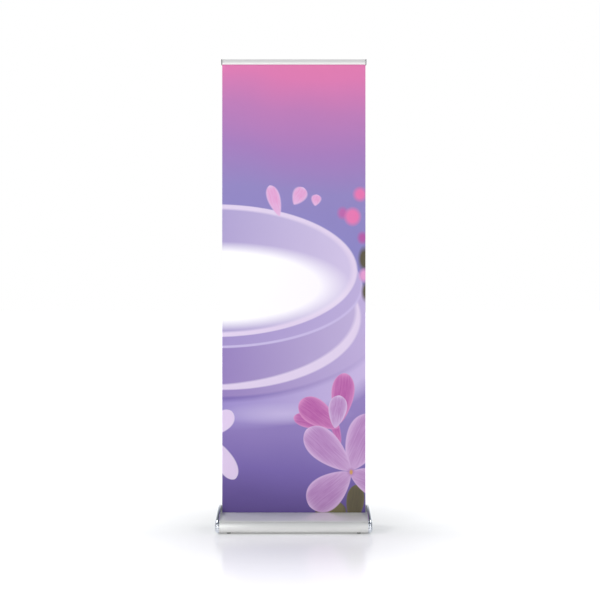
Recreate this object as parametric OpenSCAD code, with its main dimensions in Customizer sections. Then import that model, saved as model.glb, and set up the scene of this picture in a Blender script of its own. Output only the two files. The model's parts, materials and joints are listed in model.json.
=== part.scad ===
// Roll-up banner stand with a wide base, a telescopic pole and a snap rail.
// X runs along the base, the sheet's printed face looks towards -Y, +Z is up.
// The origin is the centre of the base's depth, on the surface that it stands on.

/* [Stand] */
// Height to the top of the rail's end caps
stand_h = 2000; // [1650:10:2400]
// Width of the printed sheet
graphic_w = 610; // [500:5:900]
// Thickness of the printed sheet
graphic_t = 0.4; // [0.3:0.1:0.6]

/* [Base] */
// From the sheet forward to the nose of the base
front_depth = 115; // [100:1:140]
// From the sheet back to the tail of the base
rear_depth = 95; // [85:1:120]
// Height of the end caps
cap_h = 99; // [92:1:115]
// Thickness of an end cap along the base
cap_w = 19; // [14:1:26]
// Wall of an end cap
cap_wall = 3; // [2:0.5:4]
// Length of the rounding on an end cap's outer side
cap_round = 14; // [8:1:16]
// Free length between the rail and each end cap
cap_gap = 2.5; // [1:0.5:5]
// How far the end caps stand proud of the extrusions
cap_step = 1.5; // [1:0.5:3]
// Lower radius of the nose
nose_low_r = 15; // [10:1:18]
// Upper radius of the nose
nose_up_r = 48; // [40:1:54]
// Lower radius of the tail
heel_r = 12; // [8:1:14]
// From the sheet back to the highest point of the end caps
peak_offset = 30; // [24:1:40]
// Angle of the ridge on the nose's upper radius
ridge_a = 130; // [126:1:135]
// Angle of the groove on the nose's upper radius
groove_a = 143; // [139:1:150]
// Height of the front cover's edge at the slot
slot_z = 71; // [68:1:74]
// Free width in front of the sheet in the slot
slot_front = 2; // [1.5:0.5:3]
// Free width behind the sheet in the slot
slot_rear = 3.5; // [2.5:0.5:5]
// From the sheet back to the wall behind the parked rail
park_depth = 19; // [17.5:0.5:22]
// Wall of the base profile
base_wall = 2; // [1.6:0.2:3]
// Wall of the front cover
cover_wall = 1.8; // [1.4:0.2:2.2]
// Height of the floor's underside
floor_z = 6; // [5:0.5:8]
// Height of the base's lowest edges
toe_z = 3; // [2:0.5:4]

/* [Roller] */
// Radius of the roller tube
roller_r = 18; // [16:0.5:20]
// Wall of the roller tube
roller_wall = 1.5; // [1:0.25:2.5]
// Thickness of the turns that stay on the roller
wound_t = 1; // [0.6:0.2:2]
// Height of the roller's axis
roller_z = 38; // [36:0.5:42]
// Radius of the fixed spring shaft
shaft_r = 5; // [4:0.5:6]
// Length of the fixed spring shaft inside the roller
shaft_len = 230; // [150:10:240]
// Radius of the idler pin
pin_r = 4; // [3:0.5:5]
// Mean radius of the spring's turns
spring_r = 9.5; // [8:0.5:11]
// Radius of the spring's wire
spring_wire_r = 0.9; // [0.6:0.1:1.2]
// Number of turns shown
spring_turns = 16; // [8:1:20]
// Thickness of a bearing plate
plate_t = 2; // [1.5:0.5:3]

/* [Pole] */
// From the sheet back to the pole's axis
pole_offset = 36; // [34:1:40]
// Outer radius of the lowest pole tube
pole_r = 11; // [10:0.5:12]
// Step in radius from each pole tube to the next
pole_step = 1.5; // [1.5:0.1:1.7]
// Wall of the pole tubes
pole_wall = 1; // [0.8:0.1:1.1]
// Length of tube that stays inside at full height
pole_overlap = 80; // [60:5:120]
// Height of the collar below the tube's end
collar_low = 20; // [16:1:26]
// Height of the collar above the tube's end
collar_high = 10; // [8:1:14]
// Wall of a collar
collar_wall = 4; // [3:0.5:5]
// Depth of the socket that the pole stands in
socket_depth = 40; // [30:5:60]

/* [Rail] */
// Height of the clamp rail without its caps
rail_h = 22; // [20:1:26]
// How far the rail's end caps stand proud of the rail
rail_cap_step = 2; // [1:0.5:3]
// Thickness of a rail end cap
rail_cap_t = 3; // [2:0.5:5]
// Wall of the rail extrusions
rail_wall = 1.6; // [1.2:0.1:1.8]
// Radius of the jaw's hinge bead
bead_r = 2.2; // [1.8:0.1:2.4]
// Width of the pole hook
hook_w = 30; // [20:1:50]

/* [Feet] */
// From each end of the base in to the feet
foot_inset = 58; // [45:1:80]
// From the nose and the tail in to the feet
foot_depth_inset = 27; // [25:1:30]
// Radius of a foot's pad
pad_r = 9; // [7:1:10]
// Radius of a foot's stud
stud_r = 3; // [2.5:0.5:4]
// Height that a foot can be screwed out
foot_travel = 8; // [4:1:10]

/* [Screws] */
// Radius of the screws' shanks
screw_r = 1.9; // [1.5:0.1:2.1]
// Outer radius of the screw ports
port_r = 4.2; // [3.8:0.1:4.6]

/* [Clearances] */
// Gap between pieces that move past each other
gap = 0.3; // [0.25:0.05:0.5]
// Radial clearance of a running fit
run_fit = 0.06; // [0.03:0.01:0.1]
// Gap between fixed pieces that touch only at their screws
seat_gap = 0.4; // [0.2:0.1:0.6]

/* [Hidden] */
$fn = 64;
arc_steps = 14;
eps = 0.01;

// places along the depth
sheet_y = (front_depth - rear_depth) / 2;
nose_y = sheet_y - front_depth;
tail_y = sheet_y + rear_depth;
slot_front_y = sheet_y - slot_front;
slot_rear_y = sheet_y + slot_rear;
park_y = sheet_y + park_depth;
pole_y = sheet_y + pole_offset;
wound_r = roller_r + wound_t;
roller_y = sheet_y - graphic_t / 2 - gap - wound_r;
floor_top_z = floor_z + base_wall;

// lengths along the base
rail_len = graphic_w + 1;
rail_total = rail_len + 2 * rail_cap_t;
profile_half = rail_total / 2 + cap_gap;
base_half = profile_half + cap_w;
foot_x = base_half - foot_inset;

// outline of the end cap, in depth and height
nose_low_c = [nose_y + nose_low_r, toe_z + nose_low_r];
nose_up_c = [nose_y + nose_up_r, toe_z + nose_low_r];
peak_y = sheet_y + peak_offset;
crown_dy = peak_y - nose_up_c.x;
crown_dz = cap_h - nose_up_c.y;
crown_r = (crown_dy ^ 2 + crown_dz ^ 2 - nose_up_r ^ 2) / (2 * (crown_dz - nose_up_r));
crown_c = [peak_y, cap_h - crown_r];
shoulder_a = atan2(nose_up_c.y - crown_c.y, nose_up_c.x - crown_c.x);
tail_r = tail_y - peak_y;
tail_c = [peak_y, cap_h - tail_r];
heel_c = [tail_y - heel_r, toe_z + heel_r];

// outline of the front cover: from the ridge to the slot on one shallow arc
panel_bulge = 2.5;
bead_slot_r = 2.2;
ridge_p = nose_up_c + (nose_up_r - cap_step) * [cos(ridge_a), sin(ridge_a)];
slot_p = [slot_front_y, slot_z];
panel_chord = norm(slot_p - ridge_p);
panel_r = panel_chord ^ 2 / (8 * panel_bulge) + panel_bulge / 2;
panel_dir = (slot_p - ridge_p) / panel_chord;
panel_c = (ridge_p + slot_p) / 2 + (panel_r - panel_bulge) * [panel_dir.y, -panel_dir.x];
panel_a0 = atan2(ridge_p.y - panel_c.y, ridge_p.x - panel_c.x);
panel_a1 = atan2(slot_p.y - panel_c.y, slot_p.x - panel_c.x);

// chamber wall in front of the roller, and the screw ports
chamber_y = roller_y - 30;
cover_leg = 8;
groove_gap_a = 1.6;
tongue_t = 1.4;
tongue_r = nose_up_r - cap_step - max(base_wall, cover_wall) - 0.15;
ports = [[chamber_y - 20, floor_top_z + port_r], [pole_y + 20, floor_top_z + port_r],
         tail_c + (tail_r - cap_step - base_wall - port_r + 0.8) * [cos(45), sin(45)]];
cap_screw_at = [[chamber_y - 12, 36], [pole_y + 16, 50]];
ear_p = [sheet_y + 14, 84];

// the pole's tubes: equal lengths, each standing on the overlap with the one below
rail_z = stand_h - rail_cap_step - rail_h;
hook_arm_z = rail_z - 7;
hook_arm_t = 6;
socket_floor = 4;
pole_z = floor_top_z + socket_floor;
tube_len = (hook_arm_z - pole_z + 3 * pole_overlap) / 4;
exposed = tube_len - pole_overlap;
function tube_r(i) = pole_r - (i - 1) * pole_step;
function tube_z(i) = pole_z + (i - 1) * exposed;
stop_gap = 2;
stage_travel = exposed - collar_low - collar_high - stop_gap;

// the rail, measured from the sheet and from the rail's underside
bead_p = [-1, rail_h - 5];
ring_r = bead_r + 0.1 + rail_wall;
rail_back = 9;
channel_w = 4.6;
lip_h = 7;
sheet_top_z = rail_z + bead_p.y - ring_r - 1.6;

echo(stage_travel = stage_travel, sheet_y = sheet_y, roller_y = roller_y, pole_y = pole_y,
     bead_y = sheet_y + bead_p.x, bead_z = rail_z + bead_p.y, foot_x = foot_x,
     base_half = base_half, tube_len = tube_len, sheet_top_z = sheet_top_z, crown_r = crown_r);

// points of an arc about c, from angle a0 to a1
function arc(c, r, a0, a1, n = arc_steps) =
  [for (i = [0:n]) c + r * [cos(a0 + (a1 - a0) * i / n), sin(a0 + (a1 - a0) * i / n)]];

// side outline of the end cap, drawn in by t
function cap_outline(t) = concat(
  arc(nose_low_c, nose_low_r - t, 270, 181),
  arc(nose_up_c, nose_up_r - t, 180, shoulder_a + 0.5),
  arc(crown_c, crown_r - t, shoulder_a, 90.2),
  arc(tail_c, tail_r - t, 90, 0.5),
  arc(heel_c, heel_r - t, 0, -90));

// draws a depth and height outline along X
module along_x(x0, x1) {
  translate([x0, 0, 0]) rotate([90, 0, 90]) linear_extrude(x1 - x0) children();
}

module both_ends() {
  children();
  mirror([1, 0, 0]) children();
}

// shallow arc of the front cover, drawn in by t
function panel_arc(t) = arc(panel_c, panel_r - t, panel_a0, panel_a1);

// everything under the front cover and inside the rear shell, drawn in by t
module inside_area(t) {
  intersection() {
    outline(cap_outline(t));
    outline(concat([[nose_y, 0], [nose_y, ridge_p.y - t]], panel_arc(t + 1),
      [[slot_front_y, slot_z - 8 - t], [park_y + t, slot_z - 8 - t], [park_y + t, cap_h + 10],
       [tail_y, cap_h + 10], [tail_y, 0]]));
  }
}

function reversed(list) = [for (i = [len(list) - 1:-1:0]) list[i]];

// twice the area that the points enclose, positive when they run anticlockwise
function turn(p) = let (n = len(p)) [for (i = [0:n - 1]) cross(p[i], p[(i + 1) % n])] * [for (i = [1:n]) 1];

// a polygon whose points may run either way
module outline(p) {
  polygon(turn(p) < 0 ? reversed(p) : p);
}

// a band between two lists of points that run the same way
module band(outer, inner) {
  outline(concat(outer, reversed(inner)));
}

/* ---- base ---- */

module port_2d(p) {
  difference() {
    translate(p) circle(r = port_r);
    translate(p) circle(r = screw_r);
  }
}

module base_section() {
  s = cap_step;
  w = s + base_wall;
  crown_end = acos((park_y - crown_c.x) / (crown_r - s));
  difference() {
    union() {
      band(concat(arc(nose_low_c, nose_low_r - s, 270, 181), arc(nose_up_c, nose_up_r - s, 180, groove_a)),
           concat(arc(nose_low_c, nose_low_r - w, 270, 181), arc(nose_up_c, nose_up_r - w, 180, groove_a)));
      translate([nose_low_c.x - 2, toe_z + s]) square([4, floor_top_z - toe_z - s]);
      translate([nose_low_c.x, floor_z]) square([heel_c.x - nose_low_c.x, base_wall]);
      translate([heel_c.x - 2, toe_z + s]) square([4, floor_top_z - toe_z - s]);
      band(concat(arc(heel_c, heel_r - s, -90, 0), arc(tail_c, tail_r - s, 0.5, 90), arc(crown_c, crown_r - s, 90.2, crown_end)),
           concat(arc(heel_c, heel_r - w, -90, 0), arc(tail_c, tail_r - w, 0.5, 90), arc(crown_c, crown_r - w, 90.2, crown_end)));
      translate([park_y, slot_z - base_wall])
        square([base_wall, crown_c.y + sqrt((crown_r - s) ^ 2 - (park_y - crown_c.x) ^ 2) - slot_z + base_wall - 0.3]);
      translate([slot_rear_y, slot_z - base_wall]) square([park_y - slot_rear_y + base_wall, base_wall]);
      translate([slot_rear_y, slot_z - 9]) square([base_wall, 9]);
      translate([chamber_y, floor_top_z - eps]) square([base_wall, 48]);
      translate([chamber_y + base_wall / 2, floor_top_z + 46]) circle(r = 2.2);
      for (p = ports) translate(p) circle(r = port_r);
      translate([ports[0].x - 1, floor_z]) square([2, 3]);
      translate([ports[1].x - 1, floor_z]) square([2, 3]);
    }
    for (p = ports) translate(p) circle(r = screw_r);
  }
}

module base_profile() {
  color("lightgray")
    difference() {
      along_x(-profile_half, profile_half) base_section();
      translate([0, pole_y, cap_h - 25]) cylinder(r = pole_r + 2, h = 40);
      foot_places() translate([0, 0, floor_z - 1]) cylinder(r = stud_r + 2, h = base_wall + 2);
      for (x = [-1, 1]) translate([x * 24, pole_y, floor_z - 1]) cylinder(r = screw_r, h = base_wall + 2);
    }
}

module front_cover() {
  s = cap_step;
  w = s + cover_wall;
  leg_y = chamber_y + base_wall / 2;
  leg_top = panel_c.y + sqrt((panel_r - cover_wall / 2) ^ 2 - (leg_y - panel_c.x) ^ 2);
  color("silver") along_x(-profile_half, profile_half) {
    band(arc(nose_up_c, nose_up_r - s, groove_a - groove_gap_a, ridge_a),
         arc(nose_up_c, nose_up_r - w, groove_a - groove_gap_a, ridge_a));
    band(panel_arc(0), panel_arc(cover_wall));
    // tongue behind the edge of the nose
    band(arc(nose_up_c, tongue_r, groove_a + 7, ridge_a + 2),
         arc(nose_up_c, tongue_r - tongue_t, groove_a + 7, ridge_a + 2));
    band(arc(nose_up_c, nose_up_r - s - 1, ridge_a + 3, ridge_a - 1),
         arc(nose_up_c, tongue_r - tongue_t, ridge_a + 3, ridge_a - 1));
    // rounded edge and lip at the slot
    translate([slot_front_y - bead_slot_r, slot_z - bead_slot_r]) circle(r = bead_slot_r);
    translate([slot_front_y - 2 * bead_slot_r + 0.6, slot_z - 10]) square([cover_wall, 9]);
    // two legs that clip over the chamber wall
    for (side = [-1, 1])
      translate([leg_y + side * (2.2 + gap) - (side < 0 ? 1.2 : 0), leg_top - cover_leg - 3])
        square([1.2, cover_leg + 3]);
  }
}

module slot_trim() {
  trim_y = slot_front_y - 2 * bead_slot_r + 0.6 + cover_wall;
  color("dimgray") along_x(-profile_half + 1, profile_half - 1)
    outline([[trim_y, slot_z - 10], [trim_y, slot_z - 5.5], [sheet_y - graphic_t / 2 - 0.5, slot_z - 6.5],
             [sheet_y - graphic_t / 2 - 0.5, slot_z - 9]]);
}

// a cap is a stack of layers that draw in towards its outer side
module end_cap() {
  layers = 7;
  flat_x = base_half - cap_round;
  draw_in = min(nose_low_r, heel_r) - 1.5;
  difference() {
    union() {
      along_x(profile_half, flat_x) outline(cap_outline(0));
      for (i = [1:layers]) let (a0 = 90 * (i - 1) / layers, a1 = 90 * i / layers)
        along_x(flat_x - 1, flat_x + cap_round * sin(a1))
          outline(cap_outline(draw_in * (1 - cos((a0 + a1) / 2))));
    }
    along_x(profile_half - 1, profile_half + plate_t + seat_gap) inside_area(cap_wall);
    along_x(profile_half, base_half - cap_round * 0.55) difference() {
      inside_area(cap_wall + 9);
      for (p = cap_screw_at) translate(p) circle(r = 6);
    }
    for (p = cap_screw_at) translate([0, p.x, p.y]) rotate([0, 90, 0]) {
      cylinder(r = screw_r + 0.2, h = base_half + 1);
      translate([0, 0, base_half - 2.6]) cylinder(r = 4.1, h = 5);
    }
    translate([profile_half - 1, ear_p.x, ear_p.y]) rotate([0, 90, 0]) cylinder(r = screw_r, h = 9);
  }
}

module end_cap_right() { color("gainsboro") end_cap(); }

module end_cap_left() { color("gainsboro") mirror([1, 0, 0]) end_cap(); }

module plate() {
  difference() {
    along_x(profile_half, profile_half + plate_t) inside_area(cap_wall + seat_gap);
    for (p = concat(ports, cap_screw_at)) translate([0, p.x, p.y]) rotate([0, 90, 0])
      cylinder(r = screw_r + 0.1, h = base_half);
    children();
  }
}

module bearing_plate_right() {
  color("darkgray") plate() on_axis(0) cylinder(r = pin_r, h = base_half);
}

module bearing_plate_left() {
  color("darkgray") mirror([1, 0, 0]) plate() on_axis(0) translate([-shaft_r + 1, -shaft_r + 1, 0])
    cube([2 * shaft_r - 2, 2 * shaft_r - 2, base_half]);
}

// puts a piece on the roller's axis, along +X from x
module on_axis(x) {
  translate([x, roller_y, roller_z]) rotate([0, 90, 0]) children();
}

// screw with its head's underside at the origin, shank down -Z, head up +Z
module screw(len, head_r, head_h) {
  difference() {
    union() {
      translate([0, 0, -len]) cylinder(r = screw_r, h = len);
      cylinder(r = head_r, h = head_h);
    }
    for (a = [0, 90]) rotate([0, 0, a])
      translate([-head_r * 0.6, -0.4, head_h * 0.4]) cube([head_r * 1.2, 0.8, head_h]);
  }
}

module cap_screws() {
  color("silver") both_ends()
    for (p = cap_screw_at) translate([base_half - 2.6, p.x, p.y]) rotate([0, 90, 0]) screw(base_half - 2.6 - profile_half, 3.8, 2);
}

module plate_screws() {
  color("silver") both_ends() {
    for (p = ports) translate([profile_half + plate_t, p.x, p.y]) rotate([0, 90, 0]) screw(14, 3, 0.36);
    translate([profile_half, ear_p.x, ear_p.y]) rotate([0, -90, 0]) screw(7, 3, 1.2);
  }
}

module pole_socket() {
  color("dimgray") difference() {
    union() {
      translate([0, pole_y, floor_top_z]) cylinder(r = pole_r + 2.6, h = socket_floor + socket_depth);
      translate([-32, pole_y - 8, floor_top_z]) cube([64, 16, 3]);
    }
    translate([0, pole_y, pole_z]) cylinder(r = pole_r + run_fit, h = socket_depth + 1);
    for (x = [-1, 1]) translate([x * 24, pole_y, floor_top_z - 1]) cylinder(r = screw_r, h = 6);
  }
}

module socket_screws() {
  color("silver") for (x = [-1, 1]) translate([x * 24, pole_y, floor_top_z + 3]) screw(5, 3.4, 1.8);
}

module pole_bush() {
  seat_z = cap_h - cap_step;
  color("dimgray") translate([0, pole_y, 0]) difference() {
    union() {
      translate([0, 0, seat_z - 12]) cylinder(r = pole_r + 1.9, h = 12);
      translate([0, 0, seat_z]) cylinder(r = pole_r + 4, h = 1.4);
    }
    translate([0, 0, seat_z - 13]) cylinder(r = pole_r + run_fit, h = 16);
  }
}

/* ---- roller ---- */

module spring_shaft() {
  color("gray") mirror([1, 0, 0]) difference() {
    union() {
      on_axis(profile_half - shaft_len) cylinder(r = shaft_r, h = shaft_len - 1);
      on_axis(profile_half - 1) translate([-shaft_r + 1, -shaft_r + 1, 0])
        cube([2 * shaft_r - 2, 2 * shaft_r - 2, plate_t + 1]);
    }
    on_axis(profile_half - shaft_len - 1) translate([-0.8, -shaft_r - 1, 0]) cube([1.6, 2 * shaft_r + 2, 9]);
  }
}

module torsion_spring() {
  seg = 12;
  facets = 5;
  steps = spring_turns * seg;
  x0 = -profile_half + 36;
  x1 = -profile_half + shaft_len - 14;
  pts = [for (i = [0:steps], j = [0:facets - 1])
    let (a = 360 * i / seg, b = 360 * j / facets, r = spring_r + spring_wire_r * cos(b))
    [x0 + (x1 - x0) * i / steps + spring_wire_r * sin(b), roller_y + r * cos(a), roller_z + r * sin(a)]];
  sides = [for (i = [0:steps - 1], j = [0:facets - 1])
    let (p = i * facets + j, q = i * facets + (j + 1) % facets)
    each [[p, q, p + facets], [q, q + facets, p + facets]]];
  ends = [[for (j = [facets - 1:-1:0]) j], [for (j = [0:facets - 1]) steps * facets + j]];
  color("dimgray") polyhedron(points = pts, faces = concat(sides, ends), convexity = 10);
}

module idler_pin() {
  color("gray") union() {
    on_axis(profile_half - 22) cylinder(r = pin_r, h = 22 + plate_t);
    on_axis(profile_half - 2) cylinder(r = pin_r + 2.5, h = 2);
  }
}

roller_half = profile_half - 4;

module roller_tube() {
  color("silver") on_axis(-roller_half) difference() {
    cylinder(r = roller_r, h = 2 * roller_half);
    translate([0, 0, -1]) cylinder(r = roller_r - roller_wall, h = 2 * roller_half + 2);
  }
}

module end_plug(bore_r) {
  flange = 1.4;
  on_axis(roller_half - 24) difference() {
    union() {
      cylinder(r = roller_r - roller_wall, h = 24);
      translate([0, 0, 24]) cylinder(r = roller_r, h = flange);
    }
    translate([0, 0, -1]) cylinder(r = bore_r, h = 40);
    // pockets round the hub
    for (a = [0:60:300]) rotate([0, 0, a]) translate([(roller_r - roller_wall + bore_r) / 2, 0, -1])
      cylinder(r = 2.6, h = 20);
  }
}

module spring_end_plug() { color("ivory") mirror([1, 0, 0]) end_plug(shaft_r + run_fit); }

module idler_end_plug() { color("ivory") end_plug(pin_r + run_fit); }

module wound_sheet() {
  color("mediumpurple") on_axis(-graphic_w / 2) difference() {
    cylinder(r = wound_r, h = graphic_w);
    translate([0, 0, -1]) cylinder(r = roller_r, h = graphic_w + 2);
  }
}

/* ---- feet ---- */

module foot_place(sx, sy) {
  translate([sx * foot_x, sy < 0 ? nose_y + foot_depth_inset : tail_y - foot_depth_inset, 0]) children();
}

module foot_places() {
  for (sx = [-1, 1], sy = [-1, 1]) foot_place(sx, sy) children();
}

module foot_inserts() {
  color("goldenrod") foot_places() difference() {
    union() {
      translate([0, 0, floor_z]) cylinder(r = stud_r + 2, h = base_wall + 10);
      translate([0, 0, floor_top_z]) cylinder(r = stud_r + 3.5, h = 1.2);
    }
    cylinder(r = stud_r + run_fit, h = 40);
  }
}

module foot_stud() {
  color("silver") translate([0, 0, floor_z - 3]) cylinder(r = stud_r, h = foot_travel + 14);
}

module foot_pad() {
  color("dimgray") difference() {
    rotate_extrude() polygon([[0, 0], [pad_r - 1, 0], [pad_r, 1], [pad_r - 1, floor_z - 0.5], [0, floor_z - 0.5]]);
    translate([0, 0, floor_z - 3]) cylinder(r = stud_r, h = 10);
  }
}

module foot_stud_front_left() { foot_place(-1, -1) foot_stud(); }
module foot_stud_front_right() { foot_place(1, -1) foot_stud(); }
module foot_stud_rear_left() { foot_place(-1, 1) foot_stud(); }
module foot_stud_rear_right() { foot_place(1, 1) foot_stud(); }
module foot_pad_front_left() { foot_place(-1, -1) foot_pad(); }
module foot_pad_front_right() { foot_place(1, -1) foot_pad(); }
module foot_pad_rear_left() { foot_place(-1, 1) foot_pad(); }
module foot_pad_rear_right() { foot_place(1, 1) foot_pad(); }

/* ---- pole ---- */

module at_pole(z) { translate([0, pole_y, z]) children(); }

module pole_tube(i) {
  color("silver") at_pole(tube_z(i)) difference() {
    cylinder(r = tube_r(i), h = tube_len);
    translate([0, 0, -1]) cylinder(r = tube_r(i) - pole_wall, h = tube_len + 2);
  }
}

module pole_tube_1() { pole_tube(1); }
module pole_tube_2() { pole_tube(2); }
module pole_tube_3() { pole_tube(3); }
module pole_tube_4() { pole_tube(4); }

module pole_foot_plug() {
  color("dimgray") at_pole(pole_z) cylinder(r = pole_r - pole_wall, h = 12);
}

// plug at the lower end of tube i: a spigot inside it and a guide below it
module guide_plug(i) {
  color("dimgray") at_pole(tube_z(i)) {
    cylinder(r = tube_r(i) - pole_wall, h = 12);
    translate([0, 0, -12]) cylinder(r = tube_r(i - 1) - pole_wall - 0.1, h = 12);
  }
}

module guide_plug_2() { guide_plug(2); }
module guide_plug_3() { guide_plug(3); }
module guide_plug_4() { guide_plug(4); }

// ribbed collar round the upper end of tube i
module twist_collar(i) {
  r = tube_r(i) + gap + collar_wall;
  ribs = 14;
  color("dimgray") at_pole(tube_z(i) + tube_len) difference() {
    rotate_extrude() polygon([
      [tube_r(i) + gap, -collar_low], [r, -collar_low], [r, collar_high - 4],
      [r - 2.5, collar_high], [tube_r(i + 1) + gap, collar_high], [tube_r(i + 1) + gap, gap],
      [tube_r(i) + gap, gap]]);
    for (a = [0:ribs - 1]) rotate([0, 0, 360 * a / ribs]) translate([r + 0.6, 0, -collar_low + 3])
      cylinder(r = 1.3, h = collar_low + collar_high - 9);
  }
}

module twist_collar_1() { twist_collar(1); }
module twist_collar_2() { twist_collar(2); }
module twist_collar_3() { twist_collar(3); }

module pole_hook() {
  tongue_y = sheet_y + rail_back + rail_wall + (channel_w - 3) / 2;
  channel_top_z = rail_z + rail_h - 8;
  color("dimgray") {
    at_pole(hook_arm_z - 22) cylinder(r = tube_r(4) - pole_wall, h = 22 + eps);
    at_pole(hook_arm_z) cylinder(r = tube_r(4) + 3, h = hook_arm_t);
    translate([-hook_w / 2, tongue_y, hook_arm_z]) cube([hook_w, pole_y - tongue_y, hook_arm_t - 1]);
    translate([-hook_w / 2, tongue_y, hook_arm_z]) cube([hook_w, 3, channel_top_z - 0.2 - hook_arm_z]);
  }
}

/* ---- rail ---- */

// places an outline measured from the sheet and the rail's underside
module rail_x(half) {
  along_x(-half, half) translate([sheet_y, rail_z]) children();
}

module rail_rear_section() {
  w = rail_wall;
  difference() {
    union() {
      translate(bead_p) circle(r = ring_r);
      band([for (p = arc([bead_p.x, rail_h - 12], 12, 87, 12)) p],
           [for (p = arc([bead_p.x, rail_h - 12], 12 - w, 87, 12)) p]);
      translate([rail_back, 0]) square([w, rail_h - 9]);
      translate([0.4, 0]) square([rail_back, w]);
      translate([0.4, 0]) square([w, lip_h]);
      translate([bead_p.x + 2.4, bead_p.y - w / 2]) square([rail_back - bead_p.x - 2, w]);
      translate([rail_back, rail_h - 8]) square([channel_w + 2 * w, w]);
      translate([rail_back + w + channel_w, 6]) square([w, rail_h - 14 + w]);
    }
    translate(bead_p) circle(r = bead_r + 0.1);
    // mouth that the jaw's neck swings in
    translate(bead_p) outline(concat([[0, 0]], arc([0, 0], 9, 204, 104)));
  }
}

module rail_rear() {
  color("silver") rail_x(rail_len / 2) rail_rear_section();
}

module rail_jaw_section() {
  w = rail_wall;
  outer = concat(arc(bead_p, 7.2, 142, 178), [[-9.4, 9], [-9.2, 3.5], [-8, 0.6], [-6.8, 0]]);
  inner = concat(arc(bead_p, 7.2 - w, 142, 178), [[-7.7, 9], [-7.5, 4], [-6.4, 1.8], [-6.2, w]]);
  translate(bead_p) circle(r = bead_r);
  band(outer, inner);
  translate([bead_p.x - 7.2 + w / 2, bead_p.y - 0.7]) square([7.2 - w / 2 - bead_r / 2, 1.4]);
  translate([-6.9, 0]) square([4.5, w]);
  translate([-3.9, 0]) square([1.5, lip_h]);
}

module rail_front_jaw() {
  color("gainsboro") rail_x(graphic_w / 2) rail_jaw_section();
}

module grip_strip() {
  color("dimgray") rail_x(graphic_w / 2 - 2) translate([-2.4, 0.8]) square([2, lip_h - 1.6]);
}

module rail_cap() {
  along_x(rail_len / 2, rail_len / 2 + rail_cap_t) translate([sheet_y, rail_z]) outline(concat(
    arc([bead_p.x, rail_h + rail_cap_step - 12.5], 12.5, 180, 15),
    [[rail_back + rail_wall + channel_w + rail_wall, rail_h - 6], [rail_back + rail_wall + channel_w + rail_wall, 5],
     [rail_back + rail_wall + 0.8, 3]],
    arc([rail_back - 1.2, 2], 3, 0, -90, 6), arc([-8.5, 4], 5, -90, -180, 6)));
  // plug inside the rear extrusion
  along_x(rail_len / 2 - 12, rail_len / 2 + eps) translate([sheet_y, rail_z])
    translate([2.6, 2.2]) square([rail_back - 4, bead_p.y - 4.2]);
}

module rail_cap_right() { color("dimgray") rail_cap(); }
module rail_cap_left() { color("dimgray") mirror([1, 0, 0]) rail_cap(); }

module graphic_sheet() {
  color("mediumpurple")
    translate([-graphic_w / 2, sheet_y - graphic_t / 2, roller_z])
      cube([graphic_w, graphic_t, sheet_top_z - roller_z]);
}

base_profile();
front_cover();
slot_trim();
end_cap_left();
end_cap_right();
bearing_plate_left();
bearing_plate_right();
cap_screws();
plate_screws();
pole_socket();
socket_screws();
pole_bush();
spring_shaft();
torsion_spring();
idler_pin();
foot_inserts();
foot_stud_front_left();
foot_stud_front_right();
foot_stud_rear_left();
foot_stud_rear_right();
foot_pad_front_left();
foot_pad_front_right();
foot_pad_rear_left();
foot_pad_rear_right();
roller_tube();
spring_end_plug();
idler_end_plug();
wound_sheet();
pole_foot_plug();
pole_tube_1();
pole_tube_2();
pole_tube_3();
pole_tube_4();
twist_collar_1();
twist_collar_2();
twist_collar_3();
guide_plug_2();
guide_plug_3();
guide_plug_4();
pole_hook();
rail_rear();
rail_front_jaw();
grip_strip();
rail_cap_left();
rail_cap_right();
graphic_sheet();
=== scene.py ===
"""Looks of the roll-up banner stand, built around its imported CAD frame. Lengths are in metres."""

import json
import math

import bmesh
import bpy
from mathutils import Matrix, Vector


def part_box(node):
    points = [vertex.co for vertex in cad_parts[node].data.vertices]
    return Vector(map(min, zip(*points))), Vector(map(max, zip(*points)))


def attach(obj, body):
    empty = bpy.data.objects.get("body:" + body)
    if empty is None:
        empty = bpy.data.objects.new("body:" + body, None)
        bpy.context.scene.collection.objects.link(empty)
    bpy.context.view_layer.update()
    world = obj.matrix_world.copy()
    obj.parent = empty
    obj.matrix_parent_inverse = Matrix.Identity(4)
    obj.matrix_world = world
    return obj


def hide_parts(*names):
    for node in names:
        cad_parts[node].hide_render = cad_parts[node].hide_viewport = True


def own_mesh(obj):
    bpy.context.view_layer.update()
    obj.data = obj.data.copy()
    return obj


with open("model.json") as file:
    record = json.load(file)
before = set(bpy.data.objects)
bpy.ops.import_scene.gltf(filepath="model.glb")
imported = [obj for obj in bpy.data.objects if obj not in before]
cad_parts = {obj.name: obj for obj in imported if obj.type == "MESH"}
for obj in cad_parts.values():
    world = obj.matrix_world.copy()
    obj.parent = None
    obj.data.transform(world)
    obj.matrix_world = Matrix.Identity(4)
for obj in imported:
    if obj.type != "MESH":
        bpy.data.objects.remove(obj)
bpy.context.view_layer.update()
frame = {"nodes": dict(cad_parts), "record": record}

MM = 0.001
nodes = frame["nodes"]
scene = bpy.context.scene


# ---- sizes read from the frame ------------------------------------------------------------

cap_low, cap_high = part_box("end_cap_right")
sheet_low, sheet_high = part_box("graphic_sheet")
tube_low, tube_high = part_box("pole_tube_1")
FEET = ("front_left", "front_right", "rear_left", "rear_right")
foot_boxes = [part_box(f"foot_pad_{side}") for side in FEET]
profile_half = cap_low.x
base_half = cap_high.x
nose_y, tail_y = cap_low.y, cap_high.y
toe_z, cap_top = cap_low.z, cap_high.z
sheet_y = (sheet_low.y + sheet_high.y) / 2
sheet_half = sheet_high.x
pole_y = (tube_low.y + tube_high.y) / 2
floor_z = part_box("foot_inserts")[0].z
slot_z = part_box("front_cover")[1].z

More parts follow.
